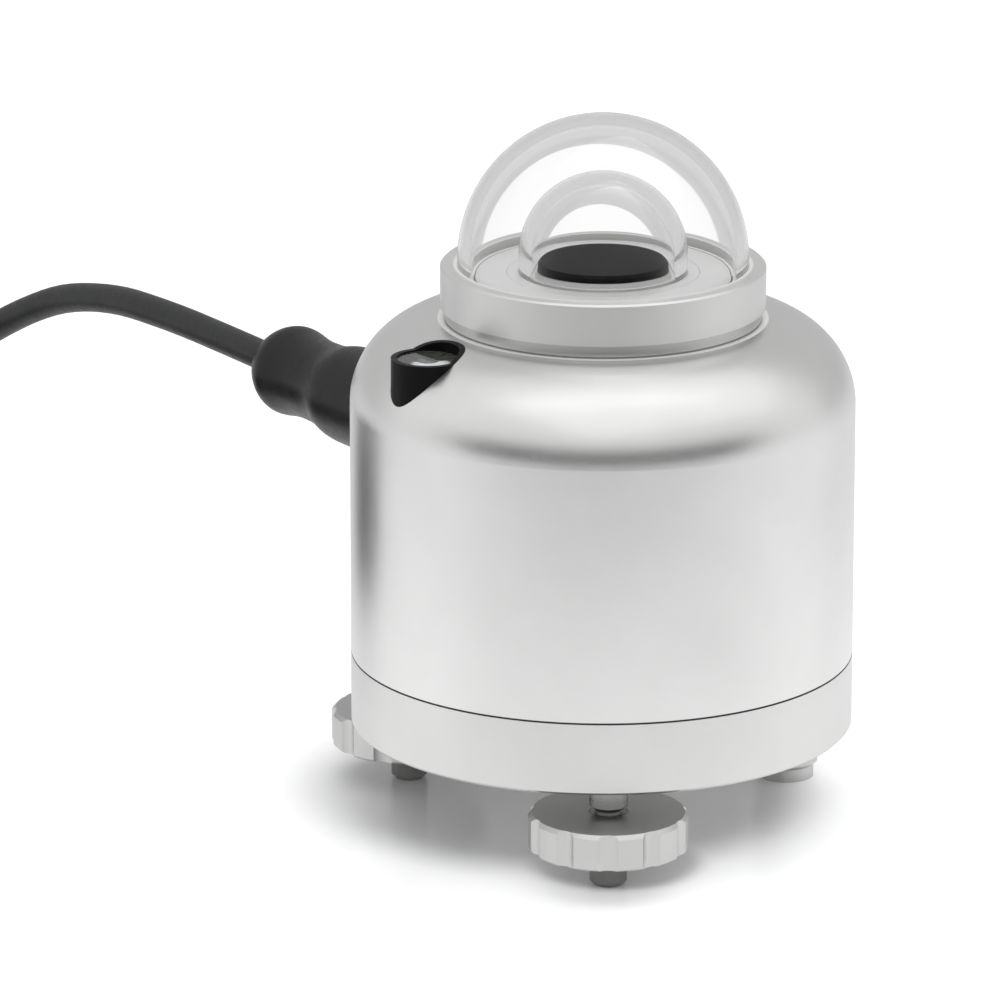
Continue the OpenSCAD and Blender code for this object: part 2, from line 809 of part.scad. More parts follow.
module main_board() {
    color("darkgreen") difference() {
        rod(board_r, z_board, z_board + board_t);
        round_places(standoff_n, standoff_place_r, standoff_turn)
            rod(board_screw_r + screw_fit, z_board - cut, z_board + board_t + cut);
    }
}

module board_parts() {
    top = z_board + board_t;
    color("dimgray") {
        translate([-chip_w / 2, -chip_w / 2, top]) cube([chip_w, chip_w, chip_h]);
        translate([-chip_w, chip_w / 2 + 2 * can_r, top]) cylinder(r = can_r, h = can_h);
        translate([ribbon_x - header_d / 2, -header_w / 2, top]) cube([header_d, header_w, header_h]);
        rotate([0, 0, socket_angle]) translate([ribbon_x - header_d / 2, -header_w / 2, top])
            cube([header_d, header_w, header_h]);
        translate([-chip_w, -chip_w - 2 * chip_h, top]) cube([chip_w, chip_w / 2, 2 * chip_h]);
    }
}

module board_standoffs() {
    color("gold") round_places(standoff_n, standoff_place_r, standoff_turn) difference() {
        union() {
            rod(standoff_r, pocket_floor, z_board);
            rod(board_screw_r, pocket_floor - standoff_pin_l, pocket_floor);
        }
        rod(board_screw_r + fit, z_board - board_screw_l - face_gap, z_board + cut);
    }
}

module board_screws() {
    color("silver") round_places(standoff_n, standoff_place_r, standoff_turn)
        translate([0, 0, z_board + board_t]) mirror([0, 0, 1])
            screw_up(board_screw_r, board_screw_head_r, board_screw_head_h, board_screw_l,
                board_screw_r * socket_drive_share);
    color("silver") round_places(2, sensor_screw_place_r, sensor_screw_turn)
        translate([0, 0, z_neck - housing_depth - board_t])
            screw_up(board_screw_r, board_screw_head_r, board_screw_head_h, board_screw_l,
                board_screw_r * socket_drive_share);
}

module sensor_board() {
    top = z_neck - housing_depth;
    color("darkgreen") difference() {
        rod(sensor_board_r, top - board_t, top);
        round_places(2, sensor_screw_place_r, sensor_screw_turn)
            rod(board_screw_r + screw_fit, top - board_t - cut, top + cut);
    }
}

// A flat lead: down from one point and across to another, [distance from the axis, height]
module bent_ribbon(top_x, top_z, low_x, low_z) {
    translate([0, ribbon_w / 2, 0]) rotate([90, 0, 0]) linear_extrude(ribbon_w)
        polygon([[low_x - ribbon_t / 2, low_z], [low_x + ribbon_t / 2, low_z],
            [low_x + ribbon_t / 2, top_z - (top_x < low_x ? 0 : ribbon_t)],
            [top_x, top_z - (top_x < low_x ? 0 : ribbon_t)],
            [top_x, top_z - (top_x < low_x ? ribbon_t : 0)],
            [low_x - ribbon_t / 2, top_z - (top_x < low_x ? ribbon_t : 0)]]);
}

module sensor_ribbon() {
    color("gray") bent_ribbon(sensor_board_r / 4, z_neck - housing_depth - board_t, ribbon_x,
        z_board + board_t + header_h);
}

module socket_ribbon() {
    color("gray") rotate([0, 0, socket_angle])
        bent_ribbon(spot_x - socket_inner_l, socket_z + ribbon_t / 2, ribbon_x,
            z_board + board_t + header_h);
}

// Ventilator inside

module fan_bracket() {
    color("lightgray") difference() {
        union() {
            rod(bracket_r, z_bracket, z_bracket + bracket_t);
            round_places(post_n, post_place_r, 0) rod(post_r, z_bracket, z_ceiling);
        }
        rod(bracket_bore_r, z_bracket - cut, z_bracket + bracket_t + cut);
        translate([ribbon_x - ribbon_t / 2 - ribbon_slot, -ribbon_w / 2 - ribbon_slot, z_bracket - cut])
            cube([ribbon_t + 2 * ribbon_slot, ribbon_w + 2 * ribbon_slot, bracket_t + 2 * cut]);
        round_places(post_n, post_place_r, 0) rod(post_screw_r + screw_fit, z_bracket - cut, z_ceiling + cut);
        round_places(fan_screw_n, fan_screw_place_r, fan_screw_turn)
            rod(fan_screw_r + fit, z_bracket - cut, z_bracket + bracket_t + cut);
    }
}

module bracket_screws() {
    color("silver") round_places(post_n, post_place_r, 0) translate([0, 0, z_bracket])
        screw_up(post_screw_r, post_screw_head_r, post_screw_head_h,
            z_ceiling - z_bracket + post_screw_bite - 2 * face_gap, post_screw_r * socket_drive_share);
}

module fan_frame() {
    low = z_bracket - fan_t;
    mouth_r = rotor_d / 2 + fan_gap;
    color([0.15, 0.15, 0.15]) union() {
        difference() {
            translate([-fan_side / 2, -fan_side / 2, low]) cube([fan_side, fan_side, fan_t]);
            rod(mouth_r, low + fan_base_t, z_bracket + cut);
            difference() {
                ring(mouth_r, fan_hub_r, low - cut, low + fan_base_t + cut);
                for (a = [90 : 120 : 330]) rotate([0, 0, a]) translate([0, -fan_strut_w / 2, low - 2 * cut])
                    cube([fan_side, fan_strut_w, fan_base_t + 4 * cut]);
            }
            round_places(fan_screw_n, fan_screw_place_r, fan_screw_turn)
                rod(fan_screw_r + screw_fit, low - cut, z_bracket + cut);
        }
        rod(fan_axle_r, low + fan_base_t / 2, z_bracket - 2 * fan_gap);
    }
}

module fan_screws() {
    color("silver") round_places(fan_screw_n, fan_screw_place_r, fan_screw_turn)
        translate([0, 0, z_bracket - fan_t])
            screw_up(fan_screw_r, fan_screw_head_r, fan_screw_head_h, fan_t + bracket_t,
                fan_screw_r * socket_drive_share);
}

module fan_rotor() {
    low = z_bracket - fan_t + fan_base_t + fan_gap;
    high = z_bracket - fan_gap;
    color([0.12, 0.12, 0.12]) difference() {
        union() {
            rod(fan_hub_r, low, high);
            for (k = [0 : fan_blades - 1]) rotate([0, 0, k * 360 / fan_blades]) intersection() {
                ring(rotor_d / 2, fan_hub_r - blade_t, low, high);
                translate([fan_hub_r - blade_t, 0, (low + high) / 2]) rotate([blade_tilt, 0, 0])
                    translate([0, -rotor_d / 4, -blade_t / 2]) cube([rotor_d / 2, rotor_d / 2, blade_t]);
            }
        }
        rod(fan_axle_r + run, low - cut, high + cut);
    }
}

module desiccant_pack() {
    size = pack_size;
    color("white") translate([0, pack_y, pocket_floor]) linear_extrude(size.z) union() {
        square([size.x - 2 * pack_corner, size.y], center = true);
        square([size.x, size.y - 2 * pack_corner], center = true);
        for (x = [-1, 1], y = [-1, 1])
            translate([x * (size.x / 2 - pack_corner), y * (size.y / 2 - pack_corner)])
                circle(r = pack_corner, $fn = 32);
    }
}

// Connector

module socket_shell() {
    color([0.7, 0.7, 0.68]) at_socket() difference() {
        union() {
            rod(socket_r - run, spot_x - socket_inner_l, thread_end);
            translate([0, 0, spot_x]) cylinder(d = socket_hex_d, h = socket_flange_t, $fn = 6);
        }
        rod(socket_bore_r, spot_x - socket_inner_l - cut, thread_end + cut);
        ring(socket_seal_r + fit, socket_r - run, spot_x - cut, spot_x + socket_seal_h);
    }
}

module socket_seal() {
    color("black") at_socket() ring(socket_seal_r, socket_r, spot_x, spot_x + socket_seal_h - fit);
}

module pin_places() {
    children();
    round_places(pin_n, pin_circle_r, 45) children();
}

module socket_insert() {
    color([0.1, 0.1, 0.1]) at_socket() difference() {
        rod(socket_bore_r - fit, spot_x - insert_in, spot_x + insert_out);
        pin_places() rod(pin_r + fit, spot_x - insert_in - cut, spot_x + insert_out + cut);
    }
}

module socket_pins() {
    color("gold") at_socket() pin_places()
        rod(pin_r, spot_x - socket_inner_l, spot_x + insert_out + pin_out);
}

module socket_nut() {
    color("silver") at_socket() translate([0, 0, socket_nut_x]) difference() {
        cylinder(d = socket_hex_d, h = socket_nut_t, $fn = 6);
        translate([0, 0, -cut]) cylinder(r = socket_r, h = socket_nut_t + 2 * cut);
    }
}

module plug_insert() {
    flange_x = nut_end - nut_back_t - face_gap - plug_flange_t;
    color([0.1, 0.1, 0.1]) at_socket() difference() {
        turned([[0, spot_x + insert_out + face_gap], [socket_bore_r - run, spot_x + insert_out + face_gap],
            [socket_bore_r - run, flange_x], [socket_r - 2 * run, flange_x],
            [socket_r - 2 * run, flange_x + plug_flange_t], [plug_neck_r, flange_x + plug_flange_t],
            [plug_neck_r, boot_start + plug_neck_l], [0, boot_start + plug_neck_l]]);
        pin_places() rod(pin_r + run, spot_x + insert_out, spot_x + insert_out + pin_out + 2 * face_gap);
    }
}

module coupling_nut() {
    out_r = coupling_d / 2;
    color([0.66, 0.66, 0.64]) at_socket() difference() {
        turned([[socket_r, nut_start], [out_r - knurl_r, nut_start], [out_r, nut_start + knurl_r],
            [out_r, nut_end - knurl_r], [out_r - knurl_r, nut_end], [plug_neck_r + run, nut_end],
            [plug_neck_r + run, nut_end - nut_back_t], [socket_r, nut_end - nut_back_t]]);
        for (k = [0 : knurls - 1]) rotate([0, 0, k * 360 / knurls])
            translate([out_r + knurl_r / 2, 0, nut_start - cut])
                cylinder(r = knurl_r, h = coupling_l + 2 * cut, $fn = 24);
    }
}

module plug_boot() {
    stations = [for (s = boot_station_shares) boot_start + s * boot_l];
    outline = [for (i = [0 : len(stations) - 1]) [boot_r * boot_radius_shares[i], stations[i]]];
    color([0.12, 0.12, 0.12]) at_socket() difference() {
        turned(concat([[0, boot_start]], outline, [[0, boot_end]]));
        rod(plug_neck_r + fit, boot_start - cut, boot_start + plug_neck_l + face_gap);
    }
}

// Cable, its coil and its end

module cable() {
    color([0.13, 0.13, 0.13]) rotate([0, 0, socket_angle]) tube(cable_route, cable_r, cable_sides);
}

module cable_coil() {
    color([0.13, 0.13, 0.13]) at_coil() tube(coil_path, cable_r, coil_sides);
}

module coil_ties() {
    mid_r = coil_out_r - coil_turns * coil_step / 2;
    inner_h = (coil_layers - 1) * coil_step + cable_d + 2 * tie_ease;
    low = z_ground - coil_z;
    color([0.1, 0.1, 0.1]) at_coil() for (share = tie_turn_shares) {
        inner_w = (coil_turns - 1 + abs(1 - 2 * share)) * coil_step + cable_d + 2 * tie_ease;
        rotate([0, 0, 360 * share]) translate([mid_r, tie_w / 2, low]) rotate([90, 0, 0]) linear_extrude(tie_w)
            difference() {
                translate([-inner_w / 2 - tie_t, 0]) square([inner_w + 2 * tie_t, inner_h + 2 * tie_t]);
                translate([-inner_w / 2, tie_t]) square([inner_w, inner_h]);
            }
    }
}

module at_cable_end() {
    at_coil() translate(coil_end) rotate([0, 0, 360 * coil_total + 90]) rotate([0, 90, 0]) children();
}

module cable_end_sleeve() {
    color([0.1, 0.1, 0.1]) at_cable_end() rod(cable_r + sleeve_wall, 0, sleeve_l);
}

module cable_end_wires() {
    color("white") at_cable_end() for (k = [0 : wire_n - 1]) {
        side = k - (wire_n - 1) / 2;
        translate([0, side * cable_r / 3, sleeve_l]) rotate([-side * wire_spread, 0, 0]) {
            rod(wire_r / 2, 0, wire_l);
            rod(wire_r, wire_l / 8, wire_l - ferrule_l);
            rod(ferrule_r, wire_l - ferrule_l, wire_l - ferrule_l / 2);
        }
    }
}

outer_dome();
inner_dome();
collar_ring();
outer_dome_bond();
inner_dome_bond();
top_plate();
dome_heater();
sensor_housing();
sensor_disc();
thermopile();
collar_seal();
collar_screws();
body_shell();
base_plate();
base_seal();
base_screws();
level_cup();
level_window();
level_fluid();
fixed_foot();
front_foot_tip();
front_foot_screw();
front_foot_knob();
left_foot_tip();
left_foot_screw();
left_foot_knob();
main_board();
board_parts();
board_standoffs();
board_screws();
sensor_board();
sensor_ribbon();
socket_ribbon();
fan_bracket();
bracket_screws();
fan_frame();
fan_screws();
fan_rotor();
desiccant_pack();
socket_shell();
socket_insert();
socket_pins();
socket_nut();
socket_seal();
plug_insert();
coupling_nut();
plug_boot();
cable();
cable_coil();
coil_ties();
cable_end_sleeve();
cable_end_wires();
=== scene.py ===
import math

import bmesh
import bpy
from mathutils import Matrix, Vector


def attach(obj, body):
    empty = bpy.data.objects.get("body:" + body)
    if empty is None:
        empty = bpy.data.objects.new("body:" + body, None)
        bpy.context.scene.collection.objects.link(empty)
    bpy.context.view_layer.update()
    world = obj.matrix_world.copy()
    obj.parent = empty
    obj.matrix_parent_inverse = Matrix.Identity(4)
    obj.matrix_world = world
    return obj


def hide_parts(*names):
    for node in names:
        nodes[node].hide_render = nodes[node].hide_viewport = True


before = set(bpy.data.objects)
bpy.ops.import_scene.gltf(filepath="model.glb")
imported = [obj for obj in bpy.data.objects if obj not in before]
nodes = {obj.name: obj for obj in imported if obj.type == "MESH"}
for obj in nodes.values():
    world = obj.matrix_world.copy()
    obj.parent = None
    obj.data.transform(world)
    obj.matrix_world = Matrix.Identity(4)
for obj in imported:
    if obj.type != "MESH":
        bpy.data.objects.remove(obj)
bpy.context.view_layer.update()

# Lengths are in millimetres, in the frame of part.scad, unless a comment says otherwise
MM = 0.001

# Sizes of part.scad that the scene repeats
GROUND_Z = -15.5
SOCKET_ANGLE = math.radians(123)
SOCKET_Z = 35.7
LEVEL_ANGLE = math.radians(213)
LEVEL_R = 32.3


# Camera

# Fitted to the seam, the rims and the outline in the photograph. The place is along the camera's own axes
CAMERA_RISE = math.radians(16.4649)
CAMERA_TURN = math.radians(-1.1)
CAMERA_RIGHT = -15.823
CAMERA_UP = 33.704
CAMERA_BACK = 1191.28
CAMERA_LENS = 274.75
CAMERA_SENSOR = 36
# Nearest and farthest distance that the camera sees, in metres
CAMERA_CLIP = (0.01, 50)


def make_camera():
    """Looks towards +Y and down by CAMERA_RISE, and stands turned round Z by CAMERA_TURN."""
    right = Vector((1, 0, 0))
    up = Vector((0, math.sin(CAMERA_RISE), math.cos(CAMERA_RISE)))
    back = Vector((0, -math.cos(CAMERA_RISE), math.sin(CAMERA_RISE)))
    pose = Matrix((right, up, back)).transposed().to_4x4()
    pose.translation = (right * CAMERA_RIGHT + up * CAMERA_UP + back * CAMERA_BACK) * MM
    data = bpy.data.cameras.new("camera")
    data.sensor_width = CAMERA_SENSOR
    data.lens = CAMERA_LENS
    data.clip_start, data.clip_end = CAMERA_CLIP
    camera = bpy.data.objects.new("camera", data)
    camera.matrix_world = Matrix.Rotation(CAMERA_TURN, 4, "Z") @ pose
    bpy.context.scene.collection.objects.link(camera)
    bpy.context.scene.camera = camera


make_camera()


# Shapes

# Steps of the arc that rounds a corner of a profile, and the share of each side that it may take
CORNER_STEPS = 5
CORNER_SHARE = 0.49
# Weighted normals keep wide faces flat beside small rounded edges
NORMAL_WEIGHT = 80


def new_object(name, bm):
    """A smooth-shaded object from a bmesh."""
    bmesh.ops.recalc_face_normals(bm, faces=bm.faces)
    mesh = bpy.data.meshes.new(name)
    bm.to_mesh(mesh)
    bm.free()
    for face in mesh.polygons:
        face.use_smooth = True
    made = bpy.data.objects.new(name, mesh)
    bpy.context.scene.collection.objects.link(made)
    return made


def arc_corner(before, corner, after, radius):
    """Points of the arc that rounds a corner of a profile."""
    corner = Vector(corner)
    one = Vector(before) - corner
    two = Vector(after) - corner
    most = CORNER_SHARE * min(one.length, two.length)
    one.normalize()
    two.normalize()
    half = one.angle(two) / 2
    reach = min(radius / math.tan(half), most)
    centre = corner + (one + two).normalized() * (reach / math.cos(half))
    start = corner + one * reach - centre
    end = corner + two * reach - centre
    turn = -start.angle_signed(end) / CORNER_STEPS
    return [tuple(centre + Matrix.Rotation(turn * i, 2) @ start) for i in range(CORNER_STEPS + 1)]


def rounded(profile):
    """An open profile of (radius, height, corner radius) as plain points. A point with no corner radius
    stays sharp."""
    out = []
    for i, point in enumerate(profile):
        if len(point) == 2:
            out.append(point)
        else:
            out += arc_corner(profile[i - 1][:2], point[:2], profile[i + 1][:2], point[2])
    return out


def lathe(name, profile, segments, matrix=Matrix.Identity(4)):
    """Turns an open profile of (radius, height) round +Z."""
    bm = bmesh.new()
    angles = [2 * math.pi * k / segments for k in range(segments)]
    rings = []
    for radius, height in profile:
        rings.append([bm.verts.new(Vector((radius * math.cos(a), radius * math.sin(a), height)) * MM)
                      for a in (angles[:1] if radius == 0 else angles)])
    for one, two in zip(rings, rings[1:]):
        for k in range(segments):
            j = (k + 1) % segments
            if len(one) == 1:
                bm.faces.new((one[0], two[k], two[j]))
            elif len(two) == 1:
                bm.faces.new((one[k], one[j], two[0]))
            else:
                bm.faces.new((one[k], one[j], two[j], two[k]))
    bmesh.ops.transform(bm, matrix=matrix, verts=bm.verts)
    made = new_object(name, bm)
    made.modifiers.new("weighted", "WEIGHTED_NORMAL").weight = NORMAL_WEIGHT
    return made


def tube(name, points, radius, sides):
    """A smooth tube along points, with closed ends."""
    bm = bmesh.new()
    angles = [2 * math.pi * k / sides for k in range(sides)]
    last = len(points) - 1
    side = (points[1] - points[0]).cross(Vector((0, 0, 1)))
    rings = []
    for i, point in enumerate(points):
        ahead = (points[min(i + 1, last)] - points[max(i - 1, 0)]).normalized()
        side = (side - ahead * side.dot(ahead)).normalized()
        other = side.cross(ahead)
        rings.append([bm.verts.new((point + (side * math.cos(a) + other * math.sin(a)) * radius) * MM)
                      for a in angles])
    for one, two in zip(rings, rings[1:]):
        for k in range(sides):
            j = (k + 1) % sides
            bm.faces.new((one[k], one[j], two[j], two[k]))
    bm.faces.new(rings[0])
    bm.faces.new(rings[-1])
    return new_object(name, bm)


def spline(points, share):
    """Catmull-Rom curve through points, with share points from each to the next."""
    points = [Vector(p) for p in points]
    last = len(points) - 1
    out = []
    for i in range(last):
        a, b, c, d = points[max(i - 1, 0)], points[i], points[i + 1], points[min(i + 2, last)]
        for k in range(share):
            t = k / share
            out.append(0.5 * (2 * b + (c - a) * t + (2 * a - 5 * b + 4 * c - d) * t ** 2
                              + (3 * b - a - 3 * c + d) * t ** 3))
    out.append(points[-1])
    return out


# Cable

# In the connector's frame, X leads away from the body. A lathe's +Z becomes the connector's axis
socket_frame = Matrix.Rotation(SOCKET_ANGLE, 4, "Z")
socket_matrix = (socket_frame @ Matrix.Translation((0, 0, SOCKET_Z * MM))
                 @ Matrix.Rotation(math.pi / 2, 4, "Y"))

CABLE_D = 5.0
CABLE_SIDES = 16
CABLE_ROUTE = [(94, 0, 35.7), (103, 0, 35.7), (112, 0, 35.7), (122, 0, 35.7), (132, 0, 35.6),
               (142, 0, 35.2), (152, 0, 34), (162, 0, 31.5), (171, 0.5, 28), (180, 1.5, 23.5),
               (188, 3.5, 18.5), (195, 7, 13), (201, 12, 7.5), (206, 18.5, 2), (210, 26, -3),
               (213, 34.5, -7.5), (214.5, 43.5, -10.7), (215, 53, -12), (215, 59, -12.1)]
# Points of the curve from one point of the route to the next
CABLE_SHARE = 3
# The cable rises a little near this distance from the body's axis, as its outline in the photograph does
LIFT = 0.6
LIFT_PLACE = 120
LIFT_REACH = 30

COIL_CENTRE = (174, 64)
COIL_MEAN_D = 60
COIL_GAP = 0.5
COIL_STEP = CABLE_D + COIL_GAP
COIL_TURNS = 4
COIL_LAYERS = 4
COIL_LAST_TURNS = 2.75
COIL_TOTAL = (COIL_LAYERS - 1) * COIL_TURNS + COIL_LAST_TURNS
COIL_R = (COIL_MEAN_D + COIL_TURNS * COIL_STEP) / 2
# The lowest layer lies on the coil's straps
COIL_REST = 0.9
COIL_Z = GROUND_Z + COIL_REST + CABLE_D / 2
# Layers that the cable climbs in a turn where one layer ends
COIL_CLIMB = 2
# Points in one turn
COIL_RINGS = 48
COIL_END_ANGLE = 2 * math.pi * COIL_TOTAL


def lifted(x, y, z):
    """A point of the route, raised near LIFT_PLACE."""
    near = max(0, 1 - abs(x - LIFT_PLACE) / LIFT_REACH)
    return (x, y, z + LIFT * near ** 0.5)


def coil_point(t):
    """The point after t turns. One layer winds inwards and the next one outwards."""
    layer = math.floor(t / COIL_TURNS)
    wound = t - layer * COIL_TURNS
    radius = COIL_R - COIL_STEP * (wound if layer % 2 == 0 else COIL_TURNS - wound)
    near = round(t / COIL_TURNS)
    climbed = 0.5 + COIL_CLIMB * (t - near * COIL_TURNS)
    height = 0 if near == 0 else near - 1 + min(1, max(0, climbed))
    a = 2 * math.pi * t
    return Vector((COIL_CENTRE[0] + radius * math.cos(a), COIL_CENTRE[1] + radius * math.sin(a),
                   COIL_Z + height * COIL_STEP))


def cable_points():
    """The whole cable from the boot to its end sleeve."""
    free = spline([lifted(*p) for p in CABLE_ROUTE], CABLE_SHARE)
    coil = [coil_point(i / COIL_RINGS) for i in range(int(COIL_TOTAL * COIL_RINGS) + 1)]
    last = coil[-1] + Vector((-math.sin(COIL_END_ANGLE), math.cos(COIL_END_ANGLE), 0)) * CABLE_D
    return free + coil + [last]


cable_way = cable_points()
route = [socket_frame @ p for p in cable_way]
cable = tube("cable_run", route, CABLE_D / 2, CABLE_SIDES)
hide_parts("cable", "cable_coil")
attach(cable, "plug")


# Sleeve over the cable's end

# (radius, height, corner radius)
SLEEVE_PROFILE = [(0, -0.2), (2.55, -0.2, 0.2), (2.75, 0.4, 0.3), (2.75, 12.4, 0.5), (2.3, 14, 0.5), (0, 14)]
SLEEVE_SEGMENTS = 40

end_matrix = (socket_frame @ Matrix.Translation(cable_way[-1] * MM)
              @ Matrix.Rotation(COIL_END_ANGLE + math.pi / 2, 4, "Z") @ Matrix.Rotation(math.pi / 2, 4, "Y"))
sleeve = lathe("end_sleeve", rounded(SLEEVE_PROFILE), SLEEVE_SEGMENTS, end_matrix)
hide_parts("cable_end_sleeve")
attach(sleeve, "plug")


# Boot of the plug

# Its outline, as the photograph shows it: (distance from the body's axis, radius)
BOOT_OUTLINE = [(54.4, 6.5), (55, 7.6), (56.4, 7.95), (59, 8.1), (63, 8.07), (66.3, 8.05), (69.4, 8.02),
                (71.4, 7.86), (73, 7.53), (74.6, 7.13), (76.6, 6.84), (79, 6.72), (82.1, 6.72), (84.9, 7.0),
                (86.9, 7.33), (88.5, 7.41), (90, 7.05), (91.6, 6.28), (92.8, 5.51), (93.6, 4.94), (93.9, 4.7)]
BOOT_SHARE = 4
# The bore round the plug's insert, and the lip round the cable: (radius, distance from the body's axis)
BOOT_BORE = [(0, 59.4), (5.25, 59.4), (5.25, 54.4)]
BOOT_LIP = [(4.5, 94), (4.1, 94.05), (3.5, 93.95), (2.9, 93.3), (2.6, 92.6), (0, 92.6)]
BOOT_SEGMENTS = 96

boot_side = [(r, x) for x, r, _ in spline([(x, r, 0) for x, r in BOOT_OUTLINE], BOOT_SHARE)]
boot = lathe("plug_boot_form", BOOT_BORE + boot_side + BOOT_LIP, BOOT_SEGMENTS, socket_matrix)
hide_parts("plug_boot")
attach(boot, "plug")


# Domes

# Steps from a dome's pole to its widest ring, and segments round it
DOME_STEPS = 56
DOME_SEGMENTS = 192
# Chamfer on both edges of a dome's foot
DOME_EDGE = 0.15


def quarter_circle(radius, centre):
    """(radius, height) points from the pole down to the height of the centre."""
    angles = [math.pi / 2 * i / DOME_STEPS for i in range(DOME_STEPS + 1)]
    return [(radius * math.sin(a), centre + radius * math.cos(a)) for a in angles]


def dome(name, node_name, radius, wall, centre, foot):
    """A half shell of glass round the height centre, with a straight skirt down to the height foot."""
    inner = radius - wall
    skirt = [(radius, foot + DOME_EDGE), (radius - DOME_EDGE, foot),
             (inner + DOME_EDGE, foot), (inner, foot + DOME_EDGE)]
    profile = quarter_circle(radius, centre) + skirt + quarter_circle(inner, centre)[::-1]
    made = lathe(name, profile, DOME_SEGMENTS)
    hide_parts(node_name)
    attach(made, "housing")
    return made


outer_dome = dome("outer_dome_form", "outer_dome", radius=22.4, wall=1.9, centre=73.8, foot=70.2)
inner_dome = dome("inner_dome_form", "inner_dome", radius=13, wall=2, centre=74.3, foot=71.1)


# Nodes of materials

# Part of a noise's range over which a ramp goes from low to high
RAMP_SPAN = (0.3, 0.7)


def material(name):
    """A new material with its tree and its Principled shader."""
    made = bpy.data.materials.new(name)
    made.use_nodes = True
    return made, made.node_tree, made.node_tree.nodes["Principled BSDF"]


def node(tree, kind, **values):
    """A node with some of its inputs or settings changed."""
    made = tree.nodes.new(kind)
    for key, value in values.items():
        if key in made.inputs:
            made.inputs[key].default_value = value
        else:
            setattr(made, key, value)
    return made


def feed(tree, socket, value):
    """Gives an input a number or a vector, or links an output to it."""
    if isinstance(value, bpy.types.NodeSocket):
        tree.links.new(value, socket)
    else:
        socket.default_value = value


def maths(tree, operation, *values):
    """The result of a Math node on numbers and outputs."""
    made = node(tree, "ShaderNodeMath", operation=operation)
    for socket, value in zip(made.inputs, values):
        feed(tree, socket, value)
    return made.outputs[0]


def times(tree, first, *others):
    """The product of masks and numbers."""
    for other in others:
        first = maths(tree, "MULTIPLY", first, other)
    return first


def vector_maths(tree, operation, one, two, result="Vector"):
    """The result of a Vector Math node on two vectors."""
    made = node(tree, "ShaderNodeVectorMath", operation=operation)
    feed(tree, made.inputs[0], one)
    feed(tree, made.inputs[1], two)
    return made.outputs[result]


def smooth_step(tree, source, start, end):
    """A mask that goes from 0 at start to 1 at end."""
    made = node(tree, "ShaderNodeMapRange", interpolation_type="SMOOTHSTEP")
    made.inputs["From Min"].default_value = start
    made.inputs["From Max"].default_value = end
    tree.links.new(source, made.inputs["Value"])
    return made.outputs[0]


def fade(tree, length, span):
    """A mask that goes from 0 to 1 where a length goes from the first to the second of span."""
    return smooth_step(tree, length, span[0] * MM, span[1] * MM)


def object_place(tree):
    """The point's place in metres, in its object's own coordinates."""
    return node(tree, "ShaderNodeTexCoord").outputs["Object"]


def axes(tree, vector):
    """The X, Y and Z of a vector."""
    split = node(tree, "ShaderNodeSeparateXYZ")
    tree.links.new(vector, split.inputs[0])
    return split.outputs


def distance_to(tree, x, y):
    """Distance in metres from the vertical line through x and y."""
    flat = vector_maths(tree, "MULTIPLY", object_place(tree), (1, 1, 0))
    return vector_maths(tree, "DISTANCE", flat, (x * MM, y * MM, 0), "Value")


def noise(tree, vector, scale, detail):
    """Noise from 0 to 1. Object coordinates are in metres, so its scale counts cells to the metre."""
    made = node(tree, "ShaderNodeTexNoise", Scale=scale, Detail=detail)
    tree.links.new(vector, made.inputs["Vector"])
    return made.outputs["Fac"]


def ramp(tree, source, low, high):
    """A colour or a grey that goes from low to high with a noise."""
    made = node(tree, "ShaderNodeValToRGB")
    for element, position, value in zip(made.color_ramp.elements, RAMP_SPAN, (low, high)):
        element.position = position
        element.color = (*value, 1) if isinstance(value, tuple) else (value, value, value, 1)
    tree.links.new(source, made.inputs["Fac"])
    return made.outputs["Color"]


def shade(colour, factor):
    """A colour made darker or lighter."""
    return tuple(c * factor for c in colour)


def bump(tree, shader, height, strength, relief):
    """Gives a shader relief from a height mask."""
    made = node(tree, "ShaderNodeBump", Strength=strength, Distance=relief)
    tree.links.new(height, made.inputs["Height"])
    tree.links.new(made.outputs["Normal"], shader.inputs["Normal"])


def mix_surface(tree, factor, one, two):
    """The material's surface is shader one where factor is 0, and shader two where it is 1."""
    mix = node(tree, "ShaderNodeMixShader")
    for socket, value in zip(mix.inputs, (factor, one.outputs[0], two.outputs[0])):
        tree.links.new(value, socket)
    tree.links.new(mix.outputs[0], tree.nodes["Material Output"].inputs["Surface"])


def tone(made, masks):
    """Scales the base colour where a mask is 1. The masks are a list of (mask, factor)."""
    tree = made.node_tree
    base = tree.nodes["Principled BSDF"].inputs["Base Color"]
    for mask, factor in masks:
        mix = node(tree, "ShaderNodeMix", data_type="RGBA", blend_type="MULTIPLY")
        tree.links.new(mask, mix.inputs["Factor"])
        tree.links.new(base.links[0].from_socket, mix.inputs["A"])
        mix.inputs["B"].default_value = (factor, factor, factor, 1)
        tree.links.new(mix.outputs["Result"], base)


# Kinds of material

# A spread is how far a value goes to both sides. A relief is the depth of the grain, in metres
METAL_CLOUDS = 60
METAL_SPREAD = 0.03
METAL_ROUGHNESS_SPREAD = 0.03
METAL_RELIEF = 0.00001


